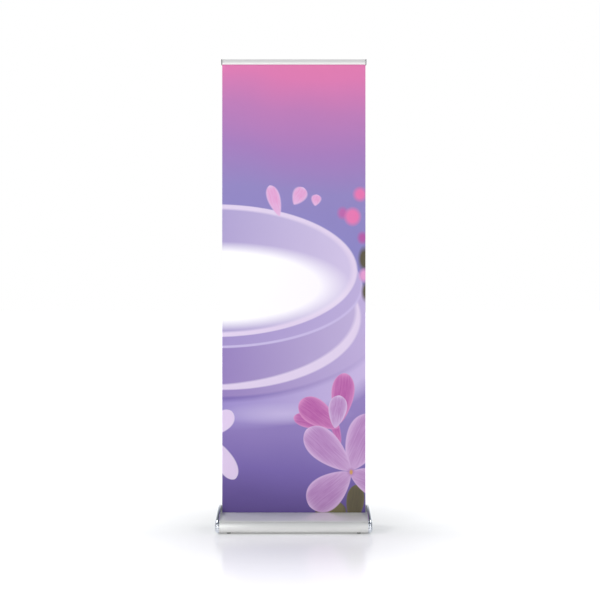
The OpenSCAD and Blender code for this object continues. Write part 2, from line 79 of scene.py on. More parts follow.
# section of the base, as the CAD model draws it
CAP_STEP = 1.5 * MM
CAP_ROUND = 14 * MM
NOSE_LOW_R = 15 * MM
NOSE_UP_R = 48 * MM
HEEL_R = 12 * MM
PEAK_BACK = 30 * MM
RIDGE_A, GROOVE_A, GROOVE_GAP_A = 130, 143, 1.6
PANEL_BULGE = 2.5 * MM
SLOT_FRONT, SLOT_REAR, PARK_DEPTH = 2 * MM, 3.5 * MM, 19 * MM
BASE_WALL, COVER_WALL, CAP_WALL = 2 * MM, 1.8 * MM, 3 * MM
BEAD_R = 2.2 * MM
SCREW_SINK, SCREW_SINK_R = 2.6 * MM, 4.1 * MM
POLE_WALL, MOVE_GAP, PRESS_GAP = 1 * MM, 0.3 * MM, 0.06 * MM
FINE_EASE, SMALL_EASE, COLLAR_EASE = 0.3 * MM, 0.5 * MM, 0.6 * MM
COLLAR_RIBS, RIB_STEPS = 14, 16
COLLAR_SKIN, COLLAR_SLOPE, COLLAR_SLOPE_IN = 0.02 * MM, 4 * MM, 2.5 * MM
FLUTE_R, FLUTE_OFF, FLUTE_LOW, FLUTE_HIGH = 1.3 * MM, 0.6 * MM, 3 * MM, 6 * MM
BUSH_LIP, BUSH_LIP_T = 2.1 * MM, 1.4 * MM
PAD_SLOPE = 1 * MM
TONGUE_T, TONGUE_GAP = 1.4 * MM, 0.15 * MM

nose_low_c = Vector((nose_y + NOSE_LOW_R, toe_z + NOSE_LOW_R))
nose_up_c = Vector((nose_y + NOSE_UP_R, toe_z + NOSE_LOW_R))
peak_y = sheet_y + PEAK_BACK
crown_dy, crown_dz = peak_y - nose_up_c.x, cap_top - nose_up_c.y
crown_r = (crown_dy**2 + crown_dz**2 - NOSE_UP_R**2) / (2 * (crown_dz - NOSE_UP_R))
crown_c = Vector((peak_y, cap_top - crown_r))
shoulder_a = math.degrees(math.atan2(nose_up_c.y - crown_c.y, nose_up_c.x - crown_c.x))
tail_r = tail_y - peak_y
tail_c = Vector((peak_y, cap_top - tail_r))
heel_c = Vector((tail_y - HEEL_R, toe_z + HEEL_R))
slot_front_y, slot_rear_y = sheet_y - SLOT_FRONT, sheet_y + SLOT_REAR
park_y = sheet_y + PARK_DEPTH


def arc(centre, radius, start, end, step=2.5):
    """Points of an arc from angle start to angle end, in degrees, about step degrees apart."""
    n = max(1, round(abs(end - start) / step))
    angles = [math.radians(start + (end - start) * i / n) for i in range(n + 1)]
    return [centre + radius * Vector((math.cos(a), math.sin(a))) for a in angles]


ridge_p = arc(nose_up_c, NOSE_UP_R - CAP_STEP, RIDGE_A, RIDGE_A)[0]
slot_p = Vector((slot_front_y, slot_z))
panel_chord = (slot_p - ridge_p).length
panel_r = panel_chord**2 / (8 * PANEL_BULGE) + PANEL_BULGE / 2
panel_dir = (slot_p - ridge_p) / panel_chord
panel_c = (ridge_p + slot_p) / 2 + (panel_r - PANEL_BULGE) * Vector((panel_dir.y, -panel_dir.x))


def panel_arc(inset, end_back=0.0):
    """The front cover's upper face from the ridge to the slot, drawn in by inset."""
    a0 = math.degrees(math.atan2(ridge_p.y - panel_c.y, ridge_p.x - panel_c.x))
    a1 = math.degrees(math.atan2(slot_p.y - panel_c.y, slot_p.x - end_back - panel_c.x))
    return arc(panel_c, panel_r - inset, a0, a1, 0.8)


# ---- materials ---------------------------------------------------------------------------


def srgb(red, green, blue):
    """A colour given as 0 to 255 display values, as linear light."""

    def linear(value):
        value /= 255
        return value / 12.92 if value <= 0.04045 else ((value + 0.055) / 1.055) ** 2.4

    return (linear(red), linear(green), linear(blue), 1.0)


class Tree:
    """Short calls for building a material's or a group's nodes."""

    def __init__(self, tree):
        self.tree = tree

    def new(self, kind, **inputs):
        node = self.tree.nodes.new(kind)
        for name, value in inputs.items():
            self.put(node.inputs[name.replace("_", " ")], value)
        return node

    def put(self, socket, value):
        if isinstance(value, bpy.types.NodeSocket):
            self.tree.links.new(value, socket)
        else:
            socket.default_value = value

    def math(self, operation, a, b=0.0, clamp=False):
        node = self.tree.nodes.new("ShaderNodeMath")
        node.operation = operation
        node.use_clamp = clamp
        self.put(node.inputs[0], a)
        self.put(node.inputs[1], b)
        return node.outputs[0]

    def mix(self, share, a, b):
        node = self.tree.nodes.new("ShaderNodeMix")
        node.data_type = "RGBA"
        self.put(node.inputs[0], share)
        self.put(node.inputs[6], a)
        self.put(node.inputs[7], b)
        return node.outputs[2]

    def ramp(self, share, stops, smooth=True):
        node = self.tree.nodes.new("ShaderNodeValToRGB")
        ramp = node.color_ramp
        ramp.interpolation = "EASE" if smooth else "LINEAR"
        while len(ramp.elements) < len(stops):
            ramp.elements.new(0.5)
        for element, (place, colour) in zip(ramp.elements, stops, strict=True):
            element.position = place
            element.color = colour
        self.put(node.inputs[0], share)
        return node.outputs[0]

    def span(self, value, low, high, out_low, out_high):
        node = self.tree.nodes.new("ShaderNodeMapRange")
        for socket, number in zip(node.inputs, (value, low, high, out_low, out_high), strict=False):
            self.put(socket, number)
        return node.outputs[0]

    def noise(self, scale, stretch=(1, 1, 1), detail=3.0, rough=0.5):
        place = self.tree.nodes.new("ShaderNodeTexCoord")
        mapping = self.tree.nodes.new("ShaderNodeMapping")
        mapping.inputs["Scale"].default_value = stretch
        self.put(mapping.inputs["Vector"], place.outputs["Object"])
        node = self.new("ShaderNodeTexNoise", Vector=mapping.outputs[0], Scale=scale, Detail=detail, Roughness=rough)
        return node.outputs["Fac"]


def material(name, colour, rough, metal=0.0, specular=0.5, coat=0.0, coat_rough=0.1):
    """A new Principled material and the Tree that its details are built in."""
    made = bpy.data.materials.new(name)
    made.use_nodes = True
    shader = made.node_tree.nodes["Principled BSDF"]
    shader.inputs["Base Color"].default_value = colour
    shader.inputs["Roughness"].default_value = rough
    shader.inputs["Metallic"].default_value = metal
    shader.inputs["Specular IOR Level"].default_value = specular
    shader.inputs["Coat Weight"].default_value = coat
    shader.inputs["Coat Roughness"].default_value = coat_rough
    return made, Tree(made.node_tree), shader


def bump(tree, shader, height, strength, distance):
    node = tree.new("ShaderNodeBump", Height=height, Strength=strength, Distance=distance)
    tree.put(shader.inputs["Normal"], node.outputs[0])


def drawn_metal(name, colour, dark, rough, along, streak=1.0, metal=1.0):
    """Satin metal with fine lines drawn along one axis, 0 for X and 2 for Z."""
    made, tree, shader = material(name, colour, rough, metal=metal)
    stretch = [260.0, 260.0, 260.0]
    stretch[along] = 1.6
    lines = tree.noise(7.0, stretch, detail=5.0, rough=0.62)
    smudge = tree.noise(5.0, detail=2.0)
    tree.put(shader.inputs["Base Color"], tree.mix(tree.span(lines, 0.3, 0.7, 0.0, 1.0), dark, colour))
    spread = tree.math("MULTIPLY", tree.span(lines, 0.25, 0.75, -0.06, 0.06), streak)
    uneven = tree.span(smudge, 0.3, 0.7, rough - 0.03, rough + 0.04)
    tree.put(shader.inputs["Roughness"], tree.math("ADD", uneven, spread))
    bump(tree, shader, lines, 0.06 * streak, 0.0002)
    return made


def chrome_plate():
    made, tree, shader = material("chrome_plate", (0.74, 0.77, 0.82, 1), 0.07, metal=1.0)
    haze = tree.noise(24.0, detail=3.0)
    ripple = tree.noise(55.0, detail=1.0)
    tree.put(shader.inputs["Roughness"], tree.span(haze, 0.35, 0.7, 0.05, 0.12))
    bump(tree, shader, ripple, 0.05, 0.0005)
    return made


def moulded(name, colour, rough, grain, depth, specular=0.45):
    """Moulded plastic or rubber with a fine spark-eroded grain and slightly uneven colour."""
    made, tree, shader = material(name, colour, rough, specular=specular)
    fine = tree.noise(grain, detail=4.0, rough=0.6)
    broad = tree.noise(18.0, detail=2.0)
    worn = tuple(min(1.0, c * 1.35 + 0.006) for c in colour[:3]) + (1.0,)
    tree.put(shader.inputs["Base Color"], tree.mix(tree.span(broad, 0.35, 0.75, 0.0, 1.0), colour, worn))
    tree.put(shader.inputs["Roughness"], tree.span(fine, 0.3, 0.7, rough - 0.07, rough + 0.08))
    bump(tree, shader, fine, 0.25, depth)
    return made


def plain_steel(name, colour, rough):
    made, tree, shader = material(name, colour, rough, metal=1.0)
    crystals = tree.noise(420.0, detail=2.0)
    shade = tuple(c * 0.72 for c in colour[:3]) + (1.0,)
    tree.put(shader.inputs["Base Color"], tree.mix(tree.span(crystals, 0.35, 0.65, 0.0, 1.0), shade, colour))
    tree.put(shader.inputs["Roughness"], tree.span(crystals, 0.3, 0.7, rough - 0.06, rough + 0.08))
    return made


# The print: a plain floral design, drawn by rule in the sheet's own X and Z.


def petal_group():
    """A node group that lays one petal over the colour below it."""
    group = bpy.data.node_groups.new("petal", "ShaderNodeTree")
    face = group.interface
    for name, kind in (
        ("Below", "Color"), ("X", "Float"), ("Z", "Float"), ("Base X", "Float"), ("Base Z", "Float"),
        ("Cos", "Float"), ("Sin", "Float"), ("Length", "Float"), ("Width", "Float"),
        ("Core", "Color"), ("Edge", "Color"), ("Soft", "Float"),
    ):
        face.new_socket(name=name, in_out="INPUT", socket_type=f"NodeSocket{kind}")
    face.new_socket(name="Color", in_out="OUTPUT", socket_type="NodeSocketColor")
    tree = Tree(group)
    entry = group.nodes.new("NodeGroupInput").outputs
    leave = group.nodes.new("NodeGroupOutput")
    dx = tree.math("SUBTRACT", entry["X"], entry["Base X"])
    dz = tree.math("SUBTRACT", entry["Z"], entry["Base Z"])
    run = tree.math("ADD", tree.math("MULTIPLY", dx, entry["Cos"]), tree.math("MULTIPLY", dz, entry["Sin"]))
    across = tree.math("SUBTRACT", tree.math("MULTIPLY", dz, entry["Cos"]), tree.math("MULTIPLY", dx, entry["Sin"]))
    p = tree.math("DIVIDE", run, entry["Length"])
    q = tree.math("DIVIDE", tree.math("ABSOLUTE", across), entry["Width"])
    arch = tree.math("MAXIMUM", tree.math("MULTIPLY", p, tree.math("SUBTRACT", 1.0, p)), 0.0)
    lean = tree.math("ADD", 0.62, tree.math("MULTIPLY", p, 0.72))
    half = tree.math("MULTIPLY", tree.math("MULTIPLY", tree.math("POWER", arch, 0.55), 2.1), lean)
    inside = tree.math("DIVIDE", tree.math("SUBTRACT", half, q), entry["Soft"], clamp=True)
    rim = tree.math("POWER", tree.math("DIVIDE", q, tree.math("ADD", half, 0.001), clamp=True), 5.0)
    tip = tree.math("POWER", tree.math("MAXIMUM", p, 0.0), 16.0, clamp=True)
    pale = tree.math("MAXIMUM", rim, tip)
    veins = tree.new("ShaderNodeTexNoise", Scale=9.0, Detail=2.0)
    veins.noise_dimensions = "2D"
    grain = tree.new("ShaderNodeCombineXYZ", X=tree.math("MULTIPLY", p, 0.35), Y=tree.math("MULTIPLY", across, 22.0))
    tree.put(veins.inputs["Vector"], grain.outputs[0])
    streak = tree.span(veins.outputs["Fac"], 0.35, 0.65, 0.0, 0.22)
    throat = tree.math("MULTIPLY", tree.math("POWER", tree.math("SUBTRACT", 1.0, p, clamp=True), 3.0), 0.5)
    lit = tree.mix(tree.math("ADD", streak, throat, clamp=True), entry["Core"], entry["Edge"])
    colour = tree.mix(pale, lit, entry["Edge"])
    tree.put(leave.inputs["Color"], tree.mix(inside, entry["Below"], colour))
    return group


def disc_group():
    """A node group that lays an ellipse over the colour below it, shaded from one colour to another."""
    group = bpy.data.node_groups.new("disc", "ShaderNodeTree")
    face = group.interface
    for name, kind in (
        ("Below", "Color"), ("X", "Float"), ("Z", "Float"), ("Middle X", "Float"), ("Middle Z", "Float"),
        ("Half X", "Float"), ("Half Z", "Float"), ("Left", "Color"), ("Right", "Color"), ("Soft", "Float"),
    ):
        face.new_socket(name=name, in_out="INPUT", socket_type=f"NodeSocket{kind}")
    face.new_socket(name="Color", in_out="OUTPUT", socket_type="NodeSocketColor")
    tree = Tree(group)
    entry = group.nodes.new("NodeGroupInput").outputs
    leave = group.nodes.new("NodeGroupOutput")
    dx = tree.math("DIVIDE", tree.math("SUBTRACT", entry["X"], entry["Middle X"]), entry["Half X"])
    dz = tree.math("DIVIDE", tree.math("SUBTRACT", entry["Z"], entry["Middle Z"]), entry["Half Z"])
    away = tree.math("SQRT", tree.math("ADD", tree.math("MULTIPLY", dx, dx), tree.math("MULTIPLY", dz, dz)))
    depth = tree.math("MULTIPLY", tree.math("SUBTRACT", 1.0, away), entry["Half Z"])
    inside = tree.math("DIVIDE", depth, entry["Soft"], clamp=True)
    colour = tree.mix(tree.span(entry["X"], -0.30, 0.30, 0.0, 1.0), entry["Left"], entry["Right"])
    tree.put(leave.inputs["Color"], tree.mix(inside, entry["Below"], colour))
    return group


PALE_PINK = srgb(222, 190, 228)
PINK, ROSE, MAGENTA = srgb(226, 112, 170), srgb(222, 152, 202), srgb(176, 84, 160)
LILAC, PALE, WHITE = srgb(176, 124, 184), srgb(226, 204, 236), srgb(254, 252, 254)
VIOLET = srgb(150, 128, 190)
BOWL_LEFT, BOWL_RIGHT = srgb(148, 126, 186), srgb(190, 174, 214)
LIP = srgb(222, 206, 232)
PALE_LILAC = srgb(198, 184, 224)
AMBER = srgb(206, 156, 96)
OLIVE, BARK = srgb(116, 108, 74), srgb(88, 80, 62)

# the ground's colours from the floor, at 0, to two metres up, at 1
GROUND = (
    (0.00, srgb(90, 70, 138)),
    (0.06, srgb(101, 81, 150)),
    (0.12, srgb(118, 98, 170)),
    (0.20, srgb(140, 120, 184)),
    (0.36, srgb(150, 130, 190)),
    (0.60, srgb(134, 128, 190)),
    (0.72, srgb(142, 129, 188)),
    (0.81, srgb(162, 120, 184)),
    (0.89, srgb(187, 119, 179)),
    (0.96, srgb(217, 118, 173)),
    (1.00, srgb(222, 118, 170)),
)

# (middle X, middle Z, half X, half Z, left colour, right colour, softness), lowest first
DISCS = (
    (-0.250, 0.800, 0.700, 0.380, srgb(154, 138, 200), srgb(198, 180, 222), 0.050),
    (-0.040, 0.490, 0.300, 0.050, PALE_LILAC, PALE_LILAC, 0.060),
    (-0.336, 0.870, 0.735, 0.335, srgb(122, 102, 174), srgb(176, 158, 206), 0.020),
    (-0.336, 0.882, 0.725, 0.325, BOWL_LEFT, srgb(188, 170, 214), 0.010),
    (-0.300, 0.900, 0.590, 0.310, LIP, LIP, 0.006),
    (-0.400, 0.930, 0.672, 0.322, BOWL_LEFT, BOWL_RIGHT, 0.008),
    (-0.336, 1.030, 0.632, 0.262, PALE_LILAC, PALE_LILAC, 0.004),
    (-0.336, 1.040, 0.628, 0.262, srgb(160, 142, 198), srgb(186, 170, 214), 0.004),
    (-0.336, 1.100, 0.610, 0.284, LIP, LIP, 0.004),
    (-0.336, 1.100, 0.594, 0.267, srgb(172, 158, 204), srgb(208, 194, 226), 0.010),
    (-0.336, 1.034, 0.582, 0.190, WHITE, srgb(248, 242, 252), 0.045),
)
BUDS = (
    (0.300, 1.150, 0.030, 0.060, OLIVE, BARK, 0.030),
    (0.306, 1.010, 0.022, 0.050, OLIVE, BARK, 0.030),
    (0.300, 1.080, 0.028, 0.035, MAGENTA, ROSE, 0.020),
    (0.208, 1.345, 0.028, 0.032, ROSE, MAGENTA, 0.020),
    (0.250, 1.330, 0.040, 0.044, ROSE, PINK, 0.020),
    (0.292, 1.240, 0.026, 0.032, ROSE, MAGENTA, 0.020),
    (0.282, 1.425, 0.034, 0.036, ROSE, PINK, 0.020),
)
FLOWER_HEART = (
    (0.243, 0.243, 0.020, 0.022, PALE, LILAC, 0.012),
    (0.244, 0.242, 0.009, 0.013, AMBER, AMBER, 0.006),
)

# (base X, base Z, direction in degrees, length, half width, core, edge, softness), lowest first
PETALS = (
    (-0.060, 1.330, 108, 0.140, 0.030, ROSE, PALE, 0.20),
    (0.000, 1.380, 60, 0.085, 0.034, ROSE, PALE, 0.25),
    (0.090, 1.375, 80, 0.050, 0.024, ROSE, PALE, 0.30),
    (-0.345, 0.400, 52, 0.130, 0.040, PALE, LIP, 0.12),
    (-0.340, 0.380, -62, 0.190, 0.040, PALE, LIP, 0.12),
    (0.140, 0.000, 78, 0.130, 0.070, OLIVE, BARK, 0.12),
    (0.250, 0.010, 84, 0.180, 0.040, BARK, OLIVE, 0.12),
    (0.200, 0.360, 108, 0.130, 0.020, MAGENTA, ROSE, 0.20),
    (0.165, 0.440, 168, 0.170, 0.032, MAGENTA, ROSE, 0.08),
    (0.190, 0.430, 145, 0.200, 0.056, MAGENTA, ROSE, 0.07),
    (0.195, 0.450, 84, 0.215, 0.050, MAGENTA, ROSE, 0.07),
    (0.175, 0.430, 82, 0.140, 0.040, LILAC, PALE, 0.08),
    (0.240, 0.250, 66, 0.260, 0.080, LILAC, PALE_PINK, 0.06),
    (0.240, 0.250, 137, 0.255, 0.066, LILAC, PALE_PINK, 0.06),
    (0.240, 0.240, -22, 0.180, 0.060, LILAC, PALE_PINK, 0.06),
    (0.240, 0.240, 220, 0.225, 0.074, LILAC, PALE_PINK, 0.06),
)


def lay(tree, group, below, spots, names):
    """Lays each spot's shape over the colour below it."""
    for spot in spots:
        node = tree.tree.nodes.new("ShaderNodeGroup")
        node.node_tree = group
        tree.put(node.inputs["Below"], below)
        for name, value in zip(names, spot, strict=True):
            tree.put(node.inputs[name], value)
        below = node.outputs[0]
    return below


def printed_film():
    """Satin laminated film with the print on it."""
    made, tree, shader = material("printed_film", VIOLET, 0.42, specular=0.35)
    petal, disc = petal_group(), disc_group()
    place = tree.new("ShaderNodeTexCoord")
    apart = tree.new("ShaderNodeSeparateXYZ", Vector=place.outputs["Object"])
    x, z = apart.outputs["X"], apart.outputs["Z"]
    slant = tree.math("ADD", z, tree.math("MULTIPLY", x, 0.10))
    cloud = tree.span(tree.noise(2.2, detail=1.0), 0.3, 0.7, -0.03, 0.03)
    rise = tree.math("DIVIDE", tree.math("ADD", slant, cloud), 2.0)
    colour = tree.ramp(rise, GROUND, smooth=False)
    disc_names = ("X", "Z", "Middle X", "Middle Z", "Half X", "Half Z", "Left", "Right", "Soft")
    petal_names = ("X", "Z", "Base X", "Base Z", "Cos", "Sin", "Length", "Width", "Core", "Edge", "Soft")
    petals = [
        (x, z, base_x, base_z, math.cos(math.radians(turn)), math.sin(math.radians(turn)), *rest)
        for base_x, base_z, turn, *rest in PETALS
    ]
    colour = lay(tree, disc, colour, [(x, z, *spot) for spot in (*DISCS, *BUDS)], disc_names)
    colour = lay(tree, petal, colour, petals, petal_names)
    colour = lay(tree, disc, colour, [(x, z, *spot) for spot in FLOWER_HEART], disc_names)
    tree.put(shader.inputs["Base Color"], colour)
    tooth = tree.noise(900.0, detail=2.0)
    tree.put(shader.inputs["Roughness"], tree.span(tooth, 0.3, 0.7, 0.38, 0.48))
    bump(tree, shader, tooth, 0.05, 0.0001)
    return made


def film_back():
    made, tree, shader = material("film_back", srgb(206, 206, 204), 0.6, specular=0.25)
    weave = tree.noise(700.0, detail=3.0)
    tree.put(shader.inputs["Base Color"], tree.mix(weave, srgb(196, 196, 195), srgb(216, 216, 214)))
    bump(tree, shader, weave, 0.1, 0.0001)
    return made


SATIN = drawn_metal("satin_aluminium", (0.82, 0.82, 0.80, 1), (0.74, 0.74, 0.72, 1), 0.36, 0, metal=0.35)
RAIL_SATIN = drawn_metal("rail_aluminium", (0.86, 0.85, 0.83, 1), (0.78, 0.775, 0.76, 1), 0.34, 0, metal=0.5)
TUBE = drawn_metal("tube_aluminium", (0.76, 0.76, 0.76, 1), (0.66, 0.66, 0.665, 1), 0.26, 2)
CHROME = chrome_plate()
ZINC = plain_steel("zinc_steel", (0.62, 0.63, 0.65, 1), 0.34)
SPRING = plain_steel("spring_steel", (0.22, 0.22, 0.24, 1), 0.38)
BRASS = plain_steel("turned_brass", (0.78, 0.60, 0.28, 1), 0.30)
BLACK = moulded("black_plastic", (0.022, 0.022, 0.024, 1), 0.46, 900.0, 0.0002)
GREY = moulded("grey_plastic", (0.16, 0.16, 0.165, 1), 0.42, 800.0, 0.0002)
NYLON = moulded("natural_nylon", (0.70, 0.67, 0.60, 1), 0.45, 500.0, 0.0002)
RUBBER = moulded("soft_rubber", (0.018, 0.018, 0.018, 1), 0.78, 600.0, 0.0003, specular=0.25)
PRINT = printed_film()
FILM_BACK = film_back()

FINISH = {
    "profile_aluminium": RAIL_SATIN,
    "cap_chrome": CHROME,
    "plate_steel": ZINC,
    "screw_steel": ZINC,
    "spring_steel": SPRING,
    "brass_insert": BRASS,
    "black_plastic": BLACK,
    "rail_cap_plastic": GREY,
    "plug_plastic": NYLON,
    "soft_black": RUBBER,
    "tube_aluminium": TUBE,
    "printed_film": FILM_BACK,
}
body_of = {node: body for body, held in frame["record"]["behaviour"]["bodies"].items() for node in held}
for part in frame["record"]["subparts"]:
    piece = nodes[part["node"]]
    piece.data.materials.clear()
    piece.data.materials.append(FINISH[part["material_slot"]])


# ---- pieces that stand for CAD nodes -------------------------------------------------------


def add_mesh(name, vertices, faces, surface, sharp=32):
    """A new object with smooth faces, whose edges over sharp degrees stay crisp."""
    mesh = bpy.data.meshes.new(name)
    mesh.from_pydata([tuple(v) for v in vertices], [], faces)
    made = bpy.data.objects.new(name, mesh)
    scene.collection.objects.link(made)
    mesh.materials.append(surface)
    work = bmesh.new()
    work.from_mesh(mesh)
    bmesh.ops.remove_doubles(work, verts=work.verts, dist=1e-6)
    bmesh.ops.recalc_face_normals(work, faces=work.faces)
    work.to_mesh(mesh)
    work.free()
    mesh.shade_smooth()
    mesh.set_sharp_from_angle(angle=math.radians(sharp))
    return made


def tidy_mesh(piece):
    """Takes out faces without area and edges without a face."""
    work = bmesh.new()
    work.from_mesh(piece.data)
    bmesh.ops.dissolve_degenerate(work, dist=2e-6, edges=work.edges)
    bmesh.ops.delete(work, geom=[e for e in work.edges if not e.link_faces], context="EDGES")
    work.to_mesh(piece.data)
    work.free()


def prism(name, outline, x0, x1, surface, sharp=32):
    """A depth and height outline drawn along X."""
    n = len(outline)
    vertices = [(x, p.x, p.y) for x in (x0, x1) for p in outline]
    sides = [(i, (i + 1) % n, n + (i + 1) % n, n + i) for i in range(n)]
    return add_mesh(name, vertices, [*sides, tuple(range(n)), tuple(range(2 * n - 1, n - 1, -1))], surface, sharp)


def apply_modifiers(piece):
    """Turns the piece's modifiers into its mesh."""
    bpy.context.view_layer.update()
    seen = piece.evaluated_get(bpy.context.evaluated_depsgraph_get())
    mesh = bpy.data.meshes.new_from_object(seen)
    old = piece.data
    piece.modifiers.clear()
    piece.data = mesh
    bpy.data.meshes.remove(old)


def bevel(piece, width, limit, segments=3):
    cut = piece.modifiers.new("bevel", "BEVEL")
    cut.width = width
    cut.segments = segments
    cut.limit_method = "ANGLE"
    cut.angle_limit = math.radians(limit)
    cut.harden_normals = False
    apply_modifiers(piece)
    piece.data.shade_smooth()
    piece.data.set_sharp_from_angle(angle=math.radians(40))


def cut_away(piece, tool):
    """Cuts the tool's shape out of the piece and deletes the tool."""
    cut = piece.modifiers.new("cut", "BOOLEAN")
    cut.operation = "DIFFERENCE"
    cut.solver = "EXACT"
    cut.object = tool
    apply_modifiers(piece)
    bpy.data.objects.remove(tool)


def upright_cylinders(name, places, z0, z1, sides=48):
    """One object that holds an upright cylinder at each (x, y, radius)."""
    vertices, faces = [], []
    for x, y, radius in places:
        start = len(vertices)
        for z in (z0, z1):
            for i in range(sides):
                a = 2 * math.pi * i / sides
                vertices.append((x + radius * math.cos(a), y + radius * math.sin(a), z))
        top = start + sides
        for i in range(sides):
            j = (i + 1) % sides
            faces.append((start + i, start + j, top + j, top + i))
        faces += [tuple(start + i for i in reversed(range(sides))), tuple(top + i for i in range(sides))]
    return add_mesh(name, vertices, faces, BLACK)


def stand_for(piece, node):
    """The piece takes the CAD node's place, on its body."""
    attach(piece, body_of[node])
    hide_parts(node)


def rounded_corners(profile, radius):
    """The closed profile with each corner eased."""
    eased = []
    for i, p in enumerate(profile):
        before, after = profile[i - 1] - p, profile[(i + 1) % len(profile)] - p
        reach = min(radius, 0.4 * before.length, 0.4 * after.length)
        a, b = p + reach * before.normalized(), p + reach * after.normalized()
        eased += [a, (a + b + 2 * p) / 4, b]
    return eased


def turned(name, profile, centre, surface, sides=96, ripple=None):
    """A closed profile of (radius, height) points turned about an upright axis."""
    vertices = []
    for p in profile:
        for i in range(sides):
            a = 2 * math.pi * i / sides
            r = p.x - (ripple(p, a) if ripple else 0)
            vertices.append((centre.x + r * math.cos(a), centre.y + r * math.sin(a), p.y))
    n = len(profile)
    faces = []
    for k in range(n):
        here, there = k * sides, (k + 1) % n * sides
        for i in range(sides):
            j = (i + 1) % sides
            faces.append((here + i, here + j, there + j, there + i))
    return add_mesh(name, vertices, faces, surface, 50)


def round_box(node):
    """Axis, outer radius, lowest and highest point of an upright round node."""
    low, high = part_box(node)
    return (low + high) / 2, (high.x - low.x) / 2, low.z, high.z


def make_base_shell():
    """The base's main extrusion: nose, floor, tail and the raised shell behind the slot."""
    s, w = CAP_STEP, CAP_STEP + BASE_WALL
    floor_top = floor_z + BASE_WALL
    end_out = math.degrees(math.acos((park_y - crown_c.x) / (crown_r - s)))
    end_in = math.degrees(math.acos((park_y + BASE_WALL - crown_c.x) / (crown_r - w)))
    outer = (
        arc(nose_up_c, NOSE_UP_R - s, GROOVE_A, 180)
        + arc(nose_low_c, NOSE_LOW_R - s, 181, 270)
        + [Vector((nose_low_c.x + 2 * MM, toe_z + s)), Vector((nose_low_c.x + 2 * MM, floor_z))]
        + [Vector((heel_c.x - 2 * MM, floor_z)), Vector((heel_c.x - 2 * MM, toe_z + s))]
        + arc(heel_c, HEEL_R - s, -90, 0)
        + arc(tail_c, tail_r - s, 1, 90)
        + arc(crown_c, crown_r - s, 90.3, end_out, 0.8)
        + [Vector((park_y, slot_z)), Vector((slot_rear_y, slot_z)), Vector((slot_rear_y, slot_z - 9 * MM))]
    )
    inner = (
        [Vector((slot_rear_y + BASE_WALL, slot_z - 9 * MM)), Vector((slot_rear_y + BASE_WALL, slot_z - BASE_WALL))]
        + [Vector((park_y + BASE_WALL, slot_z - BASE_WALL))]
        + arc(crown_c, crown_r - w, end_in, 90.3, 0.8)
        + arc(tail_c, tail_r - w, 90, 1)
        + arc(heel_c, HEEL_R - w, 0, -80)
        + [Vector((heel_c.x - 1 * MM, floor_top)), Vector((nose_low_c.x + 1 * MM, floor_top))]
        + arc(nose_low_c, NOSE_LOW_R - w, 262, 181)
        + arc(nose_up_c, NOSE_UP_R - w, 180, GROOVE_A)
    )
    shell = prism("base_shell", outer + inner, -profile_half, profile_half, SATIN)
    bevel(shell, 0.5 * MM, 28, 2)
    feet = [((low.x + high.x) / 2, (low.y + high.y) / 2, 5 * MM) for low, high in foot_boxes]
    cut_away(shell, upright_cylinders("foot_holes", feet, floor_z - 1 * MM, floor_z + 3 * MM))
    cut_away(shell, upright_cylinders("pole_hole", [(0, pole_y, 13 * MM)], cap_top - 25 * MM, cap_top + 5 * MM))
    shell.data.set_sharp_from_angle(angle=math.radians(40))
    stand_for(shell, "base_profile")


def make_front_cover():
    """The upper front extrusion, from the groove over the ridge to the slot's edge."""
    s, w = CAP_STEP, CAP_STEP + COVER_WALL
    edge = GROOVE_A - GROOVE_GAP_A
    tongue_end = GROOVE_A + 7
    tongue_r = NOSE_UP_R - s - max(BASE_WALL, COVER_WALL) - TONGUE_GAP
    bead_c = Vector((slot_front_y - BEAD_R, slot_z - BEAD_R))
    lip_y = slot_front_y - 2 * BEAD_R + 0.6 * MM
    outline = (
        arc(nose_up_c, NOSE_UP_R - s, edge, RIDGE_A + 1.5)
        + panel_arc(0, 2 * MM)[1:]
        + arc(bead_c, BEAD_R, 80, -40, 12)
        + [Vector((lip_y + COVER_WALL, slot_z - 2 * BEAD_R)), Vector((lip_y + COVER_WALL, slot_z - 10 * MM))]
        + [Vector((lip_y, slot_z - 10 * MM))]
        + [p for p in reversed(panel_arc(COVER_WALL)) if ridge_p.x + 5 * MM < p.x < lip_y - 1 * MM]
        + arc(nose_up_c, tongue_r - TONGUE_T, RIDGE_A, tongue_end)
        + arc(nose_up_c, tongue_r, tongue_end, RIDGE_A + 4)
        + arc(nose_up_c, NOSE_UP_R - w, RIDGE_A + 4, edge)
    )
    cover = prism("cover_shell", outline, -profile_half, profile_half, SATIN)
    bevel(cover, 0.7 * MM, 14, 3)
    tidy_mesh(cover)
    stand_for(cover, "front_cover")


# the pillow-shaped outer side of an end cap draws in towards this line
spine_a = Vector((nose_y + 32 * MM, 26 * MM))
spine_b = Vector((peak_y + 6 * MM, 44 * MM))


def towards_spine(p, share):
    line = spine_b - spine_a
    along = min(1.0, max(0.0, (p - spine_a).dot(line) / line.dot(line)))
    return p + share * (spine_a + along * line - p)


def notched(p, share):
    """Two shallow notches across the nose of a cap."""
    depth = 0.0
    for notch_z in (26 * MM, 38 * MM):
        depth += 1.1 * MM * math.exp(-(((p.y - notch_z) / (1.1 * MM)) ** 2))
    near_nose = max(0.0, 1 - (p.x - nose_y) / (14 * MM))
    return Vector((p.x + depth * min(1.0, near_nose * 1.6) * (1 - share), p.y))


def dense_outline():
    """The cap's outline with its nose drawn finely enough for the notches."""
    return (
        arc(nose_low_c, NOSE_LOW_R, 270, 181, 3)
        + arc(nose_up_c, NOSE_UP_R, 180, shoulder_a + 0.5, 0.7)
        + arc(crown_c, crown_r, shoulder_a, 90.3, 1.0)
        + arc(tail_c, tail_r, 90, 1, 3)
        + arc(heel_c, HEEL_R, 0, -90, 6)
    )


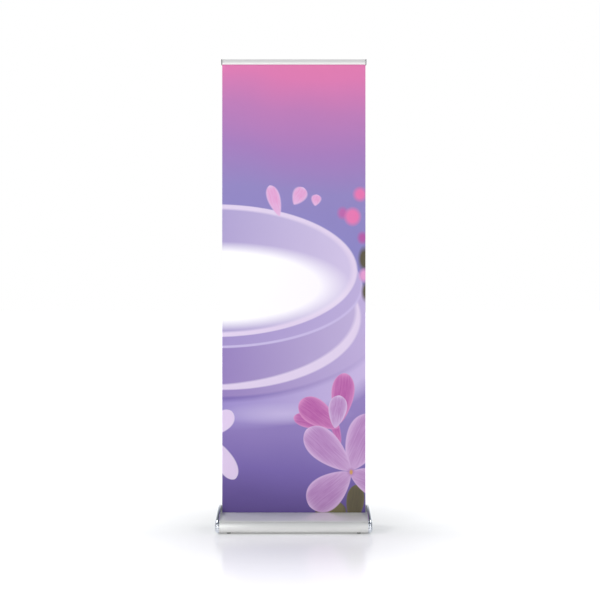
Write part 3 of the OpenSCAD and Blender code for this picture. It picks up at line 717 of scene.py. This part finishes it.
def cap_screw_places():
    """(depth, height) of the two screws in an end cap: the middles of the two groups of vertices."""
    points = [v.co for v in nodes["cap_screws"].data.vertices if v.co.x > 0]
    split = (min(p.y for p in points) + max(p.y for p in points)) / 2
    places = []
    for group in ([p for p in points if p.y < split], [p for p in points if p.y >= split]):
        ys, zs = [p.y for p in group], [p.z for p in group]
        places.append(((min(ys) + max(ys)) / 2, (min(zs) + max(zs)) / 2))
    return places


def make_end_cap(side):
    """Chrome cap with a rounded outer side and a pocket that holds the bearing plate."""
    edge = dense_outline()
    flat_x = base_half - CAP_ROUND
    rim = 0.8 * MM
    rings = [(profile_half, 0.012), (profile_half + rim * 0.35, 0.004), (profile_half + rim, 0.0), (flat_x, 0.0)]
    steps = 12
    for i in range(1, steps + 1):
        a = math.pi / 2 * i / steps
        rings.append((flat_x + CAP_ROUND * math.sin(a), 0.66 * (1 - math.cos(a))))
    n = len(edge)
    vertices, faces = [], []
    for x, share in rings:
        for p in edge:
            q = notched(towards_spine(p, share), min(1.0, share * 3))
            vertices.append((side * x, q.x, q.y))
    for k in range(len(rings) - 1):
        faces += [(k * n + i, k * n + (i + 1) % n, (k + 1) * n + (i + 1) % n, (k + 1) * n + i) for i in range(n)]
    faces.append(tuple(range(n)))
    last = (len(rings) - 1) * n
    faces.append(tuple(last + i for i in reversed(range(n))))
    name = "cap_right" if side > 0 else "cap_left"
    cap = add_mesh(name, vertices, faces, CHROME, 40)
    t = CAP_WALL
    crown_end = math.degrees(math.acos((park_y + t - crown_c.x) / (crown_r - t)))
    pocket = (
        arc(nose_low_c, NOSE_LOW_R - t, 270, 181)
        + arc(nose_up_c, NOSE_UP_R - t, 180, RIDGE_A)
        + panel_arc(t + 1 * MM)[1:]
        + [Vector((slot_front_y, slot_z - 8 * MM - t)), Vector((park_y + t, slot_z - 8 * MM - t))]
        + arc(crown_c, crown_r - t, crown_end, 90.3, 1)
        + arc(tail_c, tail_r - t, 90, 1)
        + arc(heel_c, HEEL_R - t, 0, -90)
    )
    inner_x = sorted((side * (profile_half - 1 * MM), side * (profile_half + 2.4 * MM)))
    cut_away(cap, prism("pocket", pocket, *inner_x, CHROME))
    for y, z in cap_screw_places():
        inner_end, outer_end = base_half - SCREW_SINK, base_half + 1 * MM
        drill = ((0, inner_end), (SCREW_SINK_R, inner_end), (SCREW_SINK_R, outer_end), (0, outer_end))
        recess = turned("recess", [Vector(p) for p in drill], Vector((0, 0)), CHROME, 48)
        recess.data.transform(Matrix.Translation((0, y, z)) @ Matrix.Rotation(side * math.pi / 2, 4, "Y"))
        cut_away(cap, recess)
    cap.data.shade_smooth()
    cap.data.set_sharp_from_angle(angle=math.radians(40))
    stand_for(cap, "end_cap_right" if side > 0 else "end_cap_left")


def make_sheet():
    """The printed sheet: thin, held at the rail, going down through the slot to the roll."""
    across, down = 20, 96
    half_t = (sheet_high.y - sheet_low.y) / 2
    low_z, high_z = sheet_low.z, sheet_high.z
    vertices = []
    for face in (-1, 1):
        for j in range(down + 1):
            z = low_z + (high_z - low_z) * j / down
            calm = min(1.0, max(0.0, (z - 0.14) / 0.25)) * min(1.0, max(0.0, (1.955 - z) / 0.25))
            for i in range(across + 1):
                u = -1 + 2 * i / across
                bow = 0.9 * MM * math.cos(u * math.pi * 1.5) * calm * math.sin(2.3 * z + 0.6)
                vertices.append((sheet_half * u, sheet_y + face * half_t + bow, z))
    row = across + 1
    layer = row * (down + 1)
    faces, kinds = [], []
    for face in (0, 1):
        for j in range(down):
            for i in range(across):
                a = face * layer + j * row + i
                faces.append((a, a + 1, a + row + 1, a + row))
                kinds.append(face)
    rim = [j * row for j in range(down + 1)], [j * row + across for j in range(down + 1)]
    ends = list(range(row)), [down * row + i for i in range(row)]
    for line in (*rim, *ends):
        for a, b in zip(line, line[1:], strict=False):
            faces.append((a, b, layer + b, layer + a))
            kinds.append(1)
    mesh = bpy.data.meshes.new("printed_sheet")
    mesh.from_pydata(vertices, [], faces)
    mesh.materials.append(PRINT)
    mesh.materials.append(FILM_BACK)
    for polygon, kind in zip(mesh.polygons, kinds, strict=True):
        polygon.material_index = kind
    sheet = bpy.data.objects.new("printed_sheet", mesh)
    scene.collection.objects.link(sheet)
    work = bmesh.new()
    work.from_mesh(mesh)
    bmesh.ops.recalc_face_normals(work, faces=work.faces)
    work.to_mesh(mesh)
    work.free()
    mesh.shade_smooth()
    mesh.set_sharp_from_angle(angle=math.radians(50))
    stand_for(sheet, "graphic_sheet")
    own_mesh(sheet)


def make_pole():
    """The four drawn tubes and their ribbed collars, finely rounded."""
    for i in range(1, 5):
        axis, radius, z0, z1 = round_box(f"pole_tube_{i}")
        bore = radius - POLE_WALL
        wall = [Vector(p) for p in ((bore, z0), (radius, z0), (radius, z1), (bore, z1))]
        tube = turned(f"drawn_tube_{i}", rounded_corners(wall, FINE_EASE), axis, TUBE)
        stand_for(tube, f"pole_tube_{i}")
    for i in range(1, 4):
        tube_r, next_r = round_box(f"pole_tube_{i}")[1], round_box(f"pole_tube_{i + 1}")[1]
        tube_top = round_box(f"pole_tube_{i}")[3]
        axis, radius, z0, z1 = round_box(f"twist_collar_{i}")
        radius += COLLAR_SKIN
        groove_low, groove_high = z0 + FLUTE_LOW, z1 - FLUTE_HIGH

        def ripple(p, a, radius=radius, groove_low=groove_low, groove_high=groove_high):
            if p.x < radius - FINE_EASE or not groove_low < p.y < groove_high:
                return 0.0
            spacing = 2 * math.pi / COLLAR_RIBS
            off = radius * abs((a + spacing / 2) % spacing - spacing / 2)
            return max(0.0, math.sqrt(max(0.0, FLUTE_R**2 - off**2)) - FLUTE_OFF)

        bore, top_bore = tube_r + MOVE_GAP, next_r + MOVE_GAP
        step_z = tube_top + MOVE_GAP
        outer = ((radius, z1 - COLLAR_SLOPE), (radius - COLLAR_SLOPE_IN, z1), (top_bore, z1))
        inner = ((top_bore, step_z), (bore, step_z), (bore, z0), (radius, z0))
        eased = rounded_corners([Vector(p) for p in (*outer, *inner)], COLLAR_EASE)
        middle = (groove_low + groove_high) / 2
        rise = (groove_low, groove_low + SMALL_EASE, middle, groove_high - SMALL_EASE, groove_high)
        eased += [Vector((radius, z)) for z in rise]
        collar = turned(f"collar_{i}", eased, axis, BLACK, COLLAR_RIBS * RIB_STEPS, ripple)
        stand_for(collar, f"twist_collar_{i}")


def make_small_rounds():
    """The flanged bush that the pole goes through and the pads of the feet."""
    axis, radius, z0, z1 = round_box("pole_bush")
    bore = round_box("pole_tube_1")[1] + PRESS_GAP
    sleeve = radius - BUSH_LIP
    lip_z = z1 - BUSH_LIP_T
    corners = ((bore, z0), (sleeve, z0), (sleeve, lip_z), (radius, lip_z), (radius, z1), (bore, z1))
    profile = rounded_corners([Vector(p) for p in corners], SMALL_EASE)
    stand_for(turned("pole_bush_ring", profile, axis, BLACK), "pole_bush")
    for side in FEET:
        axis, radius, z0, z1 = round_box(f"foot_pad_{side}")
        stud_r, stud_z = round_box(f"foot_stud_{side}")[1:3]
        slope_r = radius - PAD_SLOPE
        base = ((0, z0), (slope_r, z0), (radius, z0 + PAD_SLOPE))
        corners = (*base, (slope_r, z1), (stud_r, z1), (stud_r, stud_z), (0, stud_z))
        profile = rounded_corners([Vector(p) for p in corners], FINE_EASE)
        profile = [Vector((max(0.0, p.x), p.y)) for p in profile]
        pad = turned(f"pad_{side}", profile, axis, RUBBER)
        tidy_mesh(pad)
        stand_for(pad, f"foot_pad_{side}")


def make_eased_copy(node, name, width):
    """The CAD node's own shape with its edges eased."""
    piece = nodes[node].copy()
    piece.data = nodes[node].data.copy()
    piece.name = piece.data.name = name
    for key in list(piece.keys()):
        del piece[key]
    scene.collection.objects.link(piece)
    work = bmesh.new()
    work.from_mesh(piece.data)
    bmesh.ops.remove_doubles(work, verts=work.verts, dist=1e-6)
    bmesh.ops.dissolve_limit(work, angle_limit=math.radians(1), verts=work.verts, edges=work.edges)
    work.to_mesh(piece.data)
    work.free()
    bevel(piece, width, 35, 2)
    stand_for(piece, node)


make_base_shell()
make_front_cover()
make_pole()
make_small_rounds()
make_eased_copy("pole_hook", "hook", SMALL_EASE)
make_eased_copy("rail_cap_left", "rail_end_left", SMALL_EASE)
make_eased_copy("rail_cap_right", "rail_end_right", SMALL_EASE)
make_end_cap(1)
make_end_cap(-1)
make_sheet()


# ---- floor, light and camera ---------------------------------------------------------------


def make_floor():
    half = 90.0
    floor_mat, tree, shader = material("pale_floor", (0.90, 0.90, 0.90, 1), 0.18, specular=0.15)
    shader.inputs["Emission Color"].default_value = (1, 1, 1, 1)
    place = tree.new("ShaderNodeTexCoord")
    away = tree.new("ShaderNodeVectorMath", Vector=place.outputs["Object"])
    away.operation = "LENGTH"
    # Painted light: the floor glows. Its emission rises from 0.10 near the stand to 0.62 a metre further out, which
    # gives painted shade around the stand and a painted white floor further off.
    tree.put(shader.inputs["Emission Strength"], tree.span(away.outputs["Value"], 0.30, 1.30, 0.10, 0.62))
    tree.put(shader.inputs["Roughness"], tree.span(tree.noise(3.0), 0.3, 0.7, 0.16, 0.20))
    corners = [(-half, -half, 0), (half, -half, 0), (half, half, 0), (-half, half, 0)]
    floor = add_mesh("studio_floor", corners, [(0, 1, 2, 3)], floor_mat)


def make_world():
    """Bright near the horizon and dark overhead, so that the metal has something to show."""
    world = bpy.data.worlds.new("studio")
    scene.world = world
    world.use_nodes = True
    tree = Tree(world.node_tree)
    back = world.node_tree.nodes["Background"]
    place = tree.new("ShaderNodeTexCoord")
    apart = tree.new("ShaderNodeSeparateXYZ", Vector=place.outputs["Generated"])
    level = tree.ramp(
        tree.span(apart.outputs["Z"], -1.0, 1.0, 0.0, 1.0),
        (
            (0.00, (1.0, 1.0, 1.0, 1)),
            (0.55, (1.0, 1.0, 1.0, 1)),
            (0.68, (0.80, 0.81, 0.83, 1)),
            (0.82, (0.40, 0.42, 0.45, 1)),
            (0.95, (0.10, 0.11, 0.13, 1)),
            (1.00, (0.05, 0.055, 0.07, 1)),
        ),
        smooth=False,
    )
    sideways = tree.math("ABSOLUTE", apart.outputs["X"])
    dim = tree.span(sideways, 0.45, 0.90, 0.0, 0.72)
    tree.put(back.inputs["Color"], tree.mix(dim, level, (0.10, 0.11, 0.13, 1)))
    back.inputs["Strength"].default_value = 1.0
    path = tree.new("ShaderNodeLightPath")
    plain = tree.new("ShaderNodeBackground", Color=(1, 1, 1, 1), Strength=1.0)
    blend = tree.new("ShaderNodeMixShader", Fac=path.outputs["Is Camera Ray"])
    tree.put(blend.inputs[1], back.outputs[0])
    tree.put(blend.inputs[2], plain.outputs[0])
    tree.put(world.node_tree.nodes["World Output"].inputs["Surface"], blend.outputs[0])


def area_light(name, place, target, size, power, colour=(1, 1, 1)):
    lamp = bpy.data.lights.new(name, "AREA")
    lamp.shape = "RECTANGLE"
    lamp.size, lamp.size_y = size
    lamp.energy = power
    lamp.color = colour
    made = bpy.data.objects.new(name, lamp)
    made.location = place
    made.rotation_euler = (Vector(target) - Vector(place)).to_track_quat("-Z", "Y").to_euler()
    made.visible_camera = False  # a lamp lights the object and is not itself in the picture
    scene.collection.objects.link(made)


def make_camera():
    """Square view from straight ahead at half the stand's height, sized from the sheet's width in the frame."""
    distance = 5.0
    sheet_share = 0.2388
    side_step = 0.0262
    eye_z = 0.975
    lens = bpy.data.cameras.new("camera")
    lens.sensor_width = 36.0
    lens.lens = lens.sensor_width * distance * sheet_share / (2 * sheet_half)
    lens.clip_end = 300.0
    eye = bpy.data.objects.new("camera", lens)
    eye.location = (side_step, sheet_y - distance, eye_z)
    eye.rotation_euler = (math.pi / 2, 0, 0)
    scene.collection.objects.link(eye)
    scene.camera = eye


make_floor()
make_world()
area_light("left_front", (-3.0, -3.4, 1.9), (0, 0, 1.0), (1.6, 2.6), 44)
area_light("right_front", (3.2, -3.2, 1.6), (0, 0, 1.0), (1.2, 2.4), 22)
area_light("left_top", (-3.0, 0.2, 3.2), (0, -0.1, 0.2), (1.4, 1.4), 52)
area_light("right_top", (3.0, 0.2, 3.2), (0, -0.1, 0.2), (1.4, 1.4), 34)
make_camera()
scene.view_settings.view_transform = "Standard"
